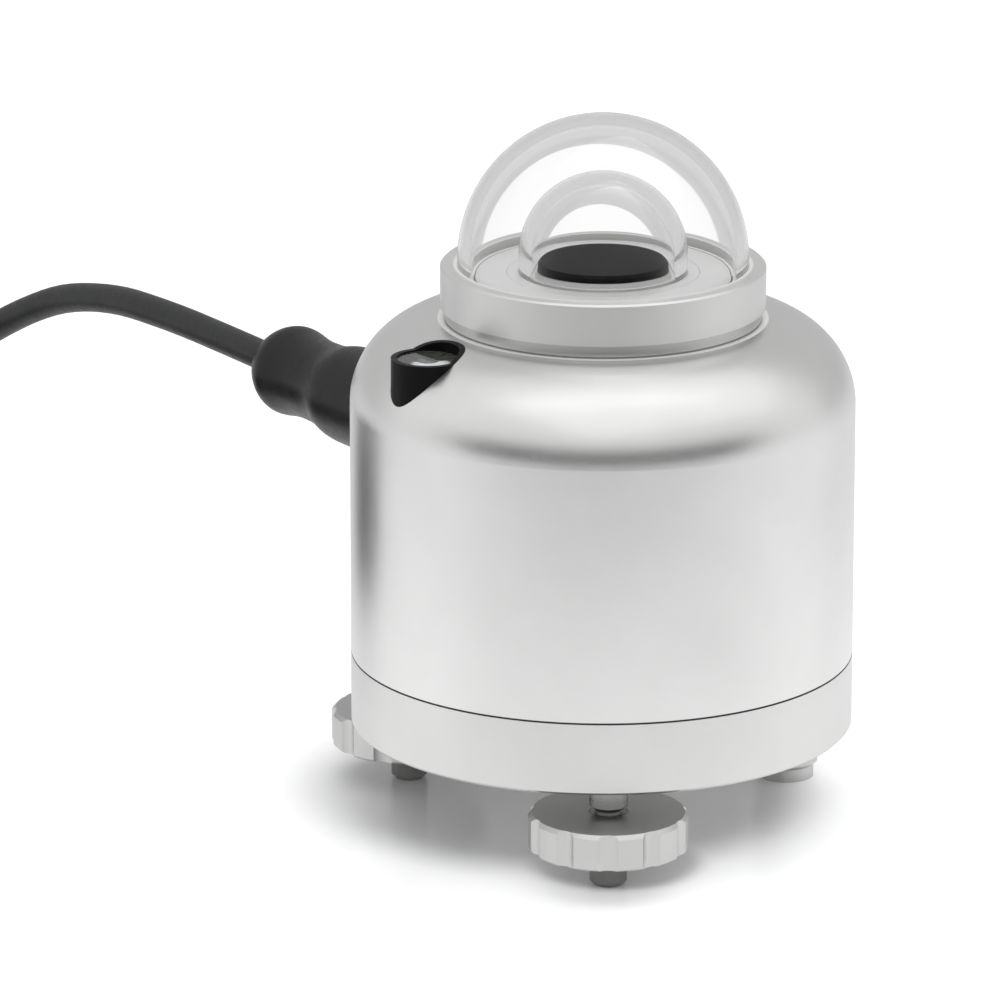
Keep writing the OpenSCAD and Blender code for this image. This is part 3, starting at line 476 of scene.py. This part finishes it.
def satin_metal(name, colour, roughness, grain=2600, grain_strength=0.25, metallic=1.0):
    """Fine blasted and anodised metal: even colour with faint clouds and a very fine grain."""
    made, tree, shader = material(name)
    place = object_place(tree)
    clouds = noise(tree, place, METAL_CLOUDS, detail=4)
    fine = noise(tree, place, grain, detail=2)
    feed(tree, shader.inputs["Base Color"],
         ramp(tree, clouds, shade(colour, 1 - METAL_SPREAD), shade(colour, 1 + METAL_SPREAD)))
    feed(tree, shader.inputs["Roughness"],
         ramp(tree, fine, roughness - METAL_ROUGHNESS_SPREAD, roughness + METAL_ROUGHNESS_SPREAD))
    feed(tree, shader.inputs["Metallic"], metallic)
    bump(tree, shader, fine, grain_strength, METAL_RELIEF)
    return made


# The lines are fine along Z and drawn out along X and Y
LATHE_STRETCH = (0.02, 0.02, 1)
LATHE_LINES = 2400
LATHE_DARK = 0.93
LATHE_ROUGHNESS_SPREAD = 0.05
LATHE_RELIEF = 0.000012
# Strength of the grain's relief on turned metal and on plastic
GRAIN_STRENGTH = 0.3


def turned_metal(name, colour, roughness):
    """Metal with fine lathe lines round the Z axis."""
    made, tree, shader = material(name)
    stretched = node(tree, "ShaderNodeMapping", Scale=LATHE_STRETCH)
    tree.links.new(object_place(tree), stretched.inputs["Vector"])
    lines = noise(tree, stretched.outputs["Vector"], LATHE_LINES, detail=2)
    feed(tree, shader.inputs["Base Color"], ramp(tree, lines, shade(colour, LATHE_DARK), colour))
    feed(tree, shader.inputs["Roughness"],
         ramp(tree, lines, roughness - LATHE_ROUGHNESS_SPREAD, roughness + LATHE_ROUGHNESS_SPREAD))
    feed(tree, shader.inputs["Metallic"], 1.0)
    bump(tree, shader, lines, GRAIN_STRENGTH, LATHE_RELIEF)
    return made


PLASTIC_CLOUDS = 120
PLASTIC_ROUGHNESS_SPREAD = 0.06


def plastic(name, colour, roughness, grain=1500, relief=0.00003, spread=0.15, specular=0.5):
    """Moulded plastic, rubber or paint: soft clouds of colour and a fine grain."""
    made, tree, shader = material(name)
    place = object_place(tree)
    clouds = noise(tree, place, PLASTIC_CLOUDS, detail=4)
    fine = noise(tree, place, grain, detail=3)
    feed(tree, shader.inputs["Base Color"],
         ramp(tree, clouds, shade(colour, 1 - spread), shade(colour, 1 + spread)))
    feed(tree, shader.inputs["Roughness"],
         ramp(tree, fine, roughness - PLASTIC_ROUGHNESS_SPREAD, roughness + PLASTIC_ROUGHNESS_SPREAD))
    feed(tree, shader.inputs["Specular IOR Level"], specular)
    bump(tree, shader, fine, GRAIN_STRENGTH, relief)
    return made


GLASS_IOR = 1.5
# A low tint weakens the reflection of glass seen head-on, and keeps that at its edges
GLASS_TINT = 0.06
GLASS_FILM = 90
GLASS_FILM_DARK = 0.992
# Share of the lamps' light that passes
GLASS_PASSES = 0.95


def glass(name, colour=(1.0, 1.0, 1.0)):
    """Clear glass with a hardly visible film. Lamp light passes straight to what stands under it."""
    made, tree, shader = material(name)
    film = noise(tree, object_place(tree), GLASS_FILM, detail=3)
    feed(tree, shader.inputs["Base Color"], ramp(tree, film, shade(colour, GLASS_FILM_DARK), colour))
    feed(tree, shader.inputs["Roughness"], 0.0)
    feed(tree, shader.inputs["IOR"], GLASS_IOR)
    feed(tree, shader.inputs["Transmission Weight"], 1.0)
    feed(tree, shader.inputs["Specular Tint"], (GLASS_TINT, GLASS_TINT, GLASS_TINT, 1))
    path = node(tree, "ShaderNodeLightPath").outputs
    passes = maths(tree, "MAXIMUM", path["Is Shadow Ray"], path["Is Diffuse Ray"])
    clear = node(tree, "ShaderNodeBsdfTransparent", Color=(GLASS_PASSES, GLASS_PASSES, GLASS_PASSES, 1))
    mix_surface(tree, passes, shader, clear)
    return made


# Tones that belong to one place of the object: painted shade and highlights, and the collar's duller bore

# Each pair is where a mask begins and where it is full. Here, the heights at the seam's two edges
SHELL_EDGE = (11.56, 11.52)
BASE_EDGE = (11.2, 11.24)
# Painted shade in the seam's groove, as a factor on the base colour
SEAM_PAINTED_SHADE = 0.18


def seam_edge(made, heights):
    """The edge at the seam between the shell and the base plate is darkened with painted shade, the shade of
    the groove there.
    """
    tree = made.node_tree
    height = axes(tree, object_place(tree))["Z"]
    tone(made, [(fade(tree, height, heights), SEAM_PAINTED_SHADE)])


# Heights and radii round the neck's foot
NECK_HEIGHTS = (64.5, 64.53)
NECK_RADII = (24.7, 24.6)
GAP_TOP = (64.82, 64.74)
GAP_FOOT = (64.45, 64.5)
RING_HEIGHTS = (64.1, 64.3)
RING_INNER = (24.45, 24.6)
RING_OUTER = (25.6, 25.3)
# Painted shade on the neck and in the gap line, and a painted highlight on the ring round them
NECK_SHADE = 0.72
GAP_PAINTED_SHADE = 0.4
RING_PAINTED_HIGHLIGHT = 1.22
# How much less metallic the ring of painted highlight is than the rest of the body
RING_DULL = 0.85


def neck_tones(made):
    """The neck is darkened with painted shade, as if in the collar's shade. At its foot are a thin line of
    painted shade in the gap and, round that, a ring of painted highlight.
    """
    tree = made.node_tree
    height = axes(tree, object_place(tree))["Z"]
    radius = distance_to(tree, 0, 0)
    neck = times(tree, fade(tree, height, NECK_HEIGHTS), fade(tree, radius, NECK_RADII))
    gap = times(tree, neck, fade(tree, height, GAP_TOP), fade(tree, height, GAP_FOOT))
    ring = times(tree, fade(tree, height, RING_HEIGHTS), fade(tree, radius, RING_INNER),
                 fade(tree, radius, RING_OUTER))
    metallic = maths(tree, "MULTIPLY_ADD", ring, -RING_DULL, 1.0)
    tree.links.new(metallic, tree.nodes["Principled BSDF"].inputs["Metallic"])
    tone(made, [(neck, NECK_SHADE), (gap, GAP_PAINTED_SHADE), (ring, RING_PAINTED_HIGHLIGHT)])


# Radii at the edge of the collar's bore
COLLAR_BORE = (22.9, 23.1)


def dull_inside(made):
    """The collar's bore is etched, so it isn't mirror metal."""
    tree = made.node_tree
    metallic = tree.nodes["Principled BSDF"].inputs["Metallic"]
    outside = fade(tree, distance_to(tree, 0, 0), COLLAR_BORE)
    tree.links.new(times(tree, outside, metallic.default_value), metallic)


LEVEL_X = LEVEL_R * math.cos(LEVEL_ANGLE)
LEVEL_Y = LEVEL_R * math.sin(LEVEL_ANGLE)
# Distances from the level's axis
BUBBLE_EDGE = (1.5, 1.3)
BUBBLE_HEART = (1.3, 0.9)
PAINTED_GLINT_OUTER = (4.55, 4.4)
# The painted glint is cut to a crescent by two circles, each an offset from the level's axis and a span
PAINTED_GLINT_CUTS = [((-0.4, 4.2), (4.8, 5.4)), ((0.5, -2), (3.4, 2.4))]
# The gas bubble is drawn with painted shade round its rim and a painted highlight in its middle
BUBBLE_RIM_PAINTED_SHADE = 0.55
BUBBLE_PAINTED_HIGHLIGHT = 2.4
# Colour of the painted glint, a highlight drawn along the front of the window
PAINTED_GLINT_COLOUR = (0.85, 0.85, 0.87, 1)


def level_fluid_material():
    """Dark liquid with a round gas bubble drawn in painted shade and painted highlight, and a crescent of
    painted glint along the front of the window.
    """
    made = plastic("level_liquid", (0.075, 0.08, 0.07), 0.2, grain=600, relief=0.00001, specular=0.3)
    tree = made.node_tree
    away = distance_to(tree, LEVEL_X, LEVEL_Y)
    tone(made, [(fade(tree, away, BUBBLE_EDGE), BUBBLE_RIM_PAINTED_SHADE),
                (fade(tree, away, BUBBLE_HEART), BUBBLE_PAINTED_HIGHLIGHT)])
    painted_glint = fade(tree, away, PAINTED_GLINT_OUTER)
    for (x, y), span in PAINTED_GLINT_CUTS:
        painted_glint = times(tree, painted_glint, fade(tree, distance_to(tree, LEVEL_X + x, LEVEL_Y + y), span))
    glint_shader = node(tree, "ShaderNodeBsdfDiffuse", Color=PAINTED_GLINT_COLOUR)
    mix_surface(tree, painted_glint, tree.nodes["Principled BSDF"], glint_shader)
    return made


# Materials of the pieces

def paint(made, *targets):
    """Gives a material to nodes, by name, and to pieces of the scene."""
    for target in targets:
        slots = (nodes[target] if isinstance(target, str) else target).data.materials
        if not slots:
            slots.append(made)
        for i in range(len(slots)):
            slots[i] = made


anodised_body = satin_metal("anodised_body", (0.82, 0.82, 0.805), 0.31, grain_strength=0.1)
neck_tones(anodised_body)
seam_edge(anodised_body, SHELL_EDGE)
paint(anodised_body, "body_shell")

anodised_base = satin_metal("anodised_base", (0.76, 0.76, 0.745), 0.36)
seam_edge(anodised_base, BASE_EDGE)
paint(anodised_base, "base_plate")

anodised_collar = satin_metal("anodised_collar", (0.74, 0.74, 0.725), 0.33, metallic=0.72)
dull_inside(anodised_collar)
paint(anodised_collar, "collar_ring")

dome_glass = glass("dome_glass")
paint(dome_glass, outer_dome, inner_dome, "outer_dome", "inner_dome")
paint(glass("window_glass", (0.93, 0.96, 0.93)), "level_window")
paint(level_fluid_material(), "level_fluid")

paint(satin_metal("anodised_plate", (0.86, 0.86, 0.85), 0.42, metallic=0.6),
      "top_plate", "sensor_housing")
paint(satin_metal("anodised_knob", (0.62, 0.62, 0.608), 0.34, grain=1800),
      "front_foot_knob", "left_foot_knob", "fixed_foot")
paint(satin_metal("bracket_metal", (0.6, 0.6, 0.6), 0.35), "fan_bracket")
paint(turned_metal("screw_steel", (0.36, 0.36, 0.35), 0.28),
      "front_foot_screw", "left_foot_screw", "collar_screws", "base_screws", "board_screws",
      "bracket_screws", "fan_screws")
paint(turned_metal("nickel_plate", (0.6, 0.59, 0.56), 0.22), "socket_shell", "socket_nut", "coupling_nut")
paint(turned_metal("brass", (0.75, 0.55, 0.25), 0.28), "socket_pins", "board_standoffs")

paint(plastic("receiver_black", (0.004, 0.004, 0.004), 0.5, grain=4000, relief=0.00002, specular=0.1),
      "sensor_disc", "thermopile")
paint(plastic("moulded_black", (0.004, 0.004, 0.0045), 0.4, specular=0.12),
      "level_cup", "socket_insert", "plug_insert", "fan_frame", "fan_rotor", "board_parts")
paint(plastic("boot_black", (0.012, 0.0125, 0.012), 0.36, grain=1100, specular=0.27),
      boot, "plug_boot", "coil_ties")
paint(plastic("jacket_black", (0.02, 0.021, 0.02), 0.45, grain=900, relief=0.00004, specular=0.4), cable)
paint(plastic("seal_black", (0.012, 0.012, 0.012), 0.65), sleeve, "collar_seal", "base_seal", "socket_seal")
paint(plastic("glide_grey", (0.28, 0.28, 0.27), 0.5), "front_foot_tip", "left_foot_tip")
paint(plastic("white_bond", (0.75, 0.75, 0.74), 0.55), "outer_dome_bond", "inner_dome_bond")
paint(plastic("board_green", (0.02, 0.12, 0.05), 0.35, grain=500, relief=0.00004, spread=0.3),
      "main_board", "sensor_board")
paint(plastic("ribbon_grey", (0.35, 0.35, 0.36), 0.4), "sensor_ribbon", "socket_ribbon")
paint(plastic("heater_orange", (0.55, 0.22, 0.04), 0.4), "dome_heater")
paint(plastic("pack_white", (0.75, 0.75, 0.72), 0.8, grain=1400, relief=0.0001), "desiccant_pack")
paint(plastic("wire_white", (0.7, 0.7, 0.68), 0.4), "cable_end_wires")


# Floor

FLOOR_LEFT, FLOOR_RIGHT = -4000, 4000
FLOOR_FRONT, FLOOR_BACK = -335, 6000
FLOOR_COLOUR = (0.9, 0.903, 0.91, 1)
FLOOR_ROUGHNESS = 0.2
# Strength of the glow that the camera and metal see on open floor, and of that under the object
FLOOR_GLOW = 0.36
METAL_GLOW = 0.22
SHADOW_GLOW = 0.015
# The glow ends under the body and round the front foot, which paints the shadow there, and metal sees it only
# near the object
UNDER_BODY = (-6, 12)
UNDER_BODY_SPAN = (32, 47)
FRONT_FOOT = (1.5, -25)
FRONT_FOOT_SPAN = (10.5, 15)
METAL_SPAN = (260, 50)
# Glass sees this grey, and white in an elliptical patch of the floor behind the object. Its centre and
# half widths are in metres, and its edge is a span of the square of the share of those
GLASS_GREY = 0.63
PATCH_CENTRE = (0.005, 0.57, 0)
PATCH_HALF = (0.1, 0.48, 1)
PATCH_EDGE = (0.95, 1.1)


def glass_glow(tree):
    """The strength that glass sees: 1 in the patch behind the object, and grey outside it."""
    away = vector_maths(tree, "SUBTRACT", object_place(tree), PATCH_CENTRE)
    share = vector_maths(tree, "DIVIDE", away, PATCH_HALF)
    patch = node(tree, "ShaderNodeMapRange")
    patch.inputs["From Min"].default_value, patch.inputs["From Max"].default_value = PATCH_EDGE
    patch.inputs["To Min"].default_value = 1.0
    patch.inputs["To Max"].default_value = GLASS_GREY
    tree.links.new(vector_maths(tree, "DOT_PRODUCT", share, share, "Value"), patch.inputs["Value"])
    return patch.outputs[0]


def floor_material():
    """White floor with a soft shadow, partly cast by the lamps and partly painted by taking its glow away
    under the object. Through glass only its part behind the object is white, and the rest is grey, as past
    the edges of a studio sweep."""
    made, tree, shader = material("floor_white")
    shader.inputs["Base Color"].default_value = FLOOR_COLOUR
    shader.inputs["Roughness"].default_value = FLOOR_ROUGHNESS
    shader.inputs["Emission Color"].default_value = (1, 1, 1, 1)
    path = node(tree, "ShaderNodeLightPath").outputs
    near = distance_to(tree, *UNDER_BODY)
    open_floor = times(tree, fade(tree, near, UNDER_BODY_SPAN),
                       fade(tree, distance_to(tree, *FRONT_FOOT), FRONT_FOOT_SPAN))
    seen = maths(tree, "MULTIPLY_ADD", open_floor, FLOOR_GLOW, SHADOW_GLOW)
    by_camera = times(tree, seen, path["Is Camera Ray"])
    by_metal = times(tree, fade(tree, near, METAL_SPAN), METAL_GLOW, open_floor, path["Is Glossy Ray"])
    tree.links.new(maths(tree, "ADD", by_camera, by_metal), shader.inputs["Emission Strength"])
    glow = node(tree, "ShaderNodeEmission")
    tree.links.new(glass_glow(tree), glow.inputs["Strength"])
    mix_surface(tree, path["Is Transmission Ray"], shader, glow)
    return made


def make_floor():
    """A floor that ends a third of a metre in front of the object."""
    bm = bmesh.new()
    corners = [(FLOOR_LEFT, FLOOR_FRONT, 0), (FLOOR_RIGHT, FLOOR_FRONT, 0),
               (FLOOR_RIGHT, FLOOR_BACK, 0), (FLOOR_LEFT, FLOOR_BACK, 0)]
    bm.faces.new([bm.verts.new(Vector(corner) * MM) for corner in corners])
    floor = new_object("floor", bm)
    floor.location = (0, 0, GROUND_Z * MM)
    floor.data.materials.append(floor_material())


# World and lamps

# Greys that metal sees: all round, behind the object, and low down behind the camera
GLOSS_WORLD = 0.84
GLOSS_BEHIND = 0.55
GLOSS_DARK = 0.08
# Grey that lights the object from the sides
SOFT_WORLD = 0.5
# Blue of a grey, as a share of its red and green
WORLD_BLUE = 1.01
# Spans of a direction's Z or Y, from -1 to 1
LOW_DOWN = (0.3, 0.08)
BEHIND_CAMERA = (-0.05, -0.6)
BEHIND_OBJECT = (0.3, 0.6)

# In metres, as the lamps' places and sizes are
LAMP_TARGET = (0, 0, 0.03)


def mixed(tree, factor, one, two):
    """Grey or colour one where factor is 0, and two where it is 1."""
    made = node(tree, "ShaderNodeMix", data_type="RGBA")
    tree.links.new(factor, made.inputs["Factor"])
    for name, value in (("A", one), ("B", two)):
        grey = isinstance(value, float)
        feed(tree, made.inputs[name], (value, value, value * WORLD_BLUE, 1) if grey else value)
    return made.outputs["Result"]


def make_world():
    """The camera sees white, glass sees grey, and metal sees a white room that is dark low down behind the
    camera. Soft light is weaker from the sides than from the lamps above."""
    world = bpy.data.worlds.new("studio")
    bpy.context.scene.world = world
    world.use_nodes = True
    tree = world.node_tree
    path = node(tree, "ShaderNodeLightPath").outputs
    sky = axes(tree, node(tree, "ShaderNodeTexCoord").outputs["Generated"])
    dark = times(tree, smooth_step(tree, sky["Z"], *LOW_DOWN), smooth_step(tree, sky["Y"], *BEHIND_CAMERA))
    behind = smooth_step(tree, sky["Y"], *BEHIND_OBJECT)
    gloss = mixed(tree, dark, mixed(tree, behind, GLOSS_WORLD, GLOSS_BEHIND), GLOSS_DARK)
    colour = mixed(tree, path["Is Glossy Ray"], SOFT_WORLD, gloss)
    colour = mixed(tree, path["Is Transmission Ray"], colour, GLASS_GREY)
    colour = mixed(tree, path["Is Camera Ray"], colour, 1.0)
    tree.links.new(colour, tree.nodes["Background"].inputs["Color"])


def area_light(name, place, size, power, in_metal=True):
    """A soft box over the object. With in_metal False, gloss doesn't show it."""
    data = bpy.data.lights.new(name, "AREA")
    data.shape = "RECTANGLE"
    data.size, data.size_y = size
    data.energy = power
    light = bpy.data.objects.new(name, data)
    light.location = place
    light.rotation_euler = (Vector(LAMP_TARGET) - Vector(place)).to_track_quat("-Z", "Y").to_euler()
    light.visible_camera = False
    light.visible_glossy = in_metal
    bpy.context.scene.collection.objects.link(light)


make_floor()
make_world()
area_light("softbox", (0.1, -0.1, 1.3), size=(2.6, 1.8), power=13.4, in_metal=False)
area_light("softbox_front", (0.3, -0.35, 1.29), size=(2.8, 1.9), power=3.6)
area_light("softbox_middle", (0.05, -0.3, 1.28), size=(1.6, 0.5), power=0.5)

bpy.context.scene.view_settings.view_transform = "Standard"
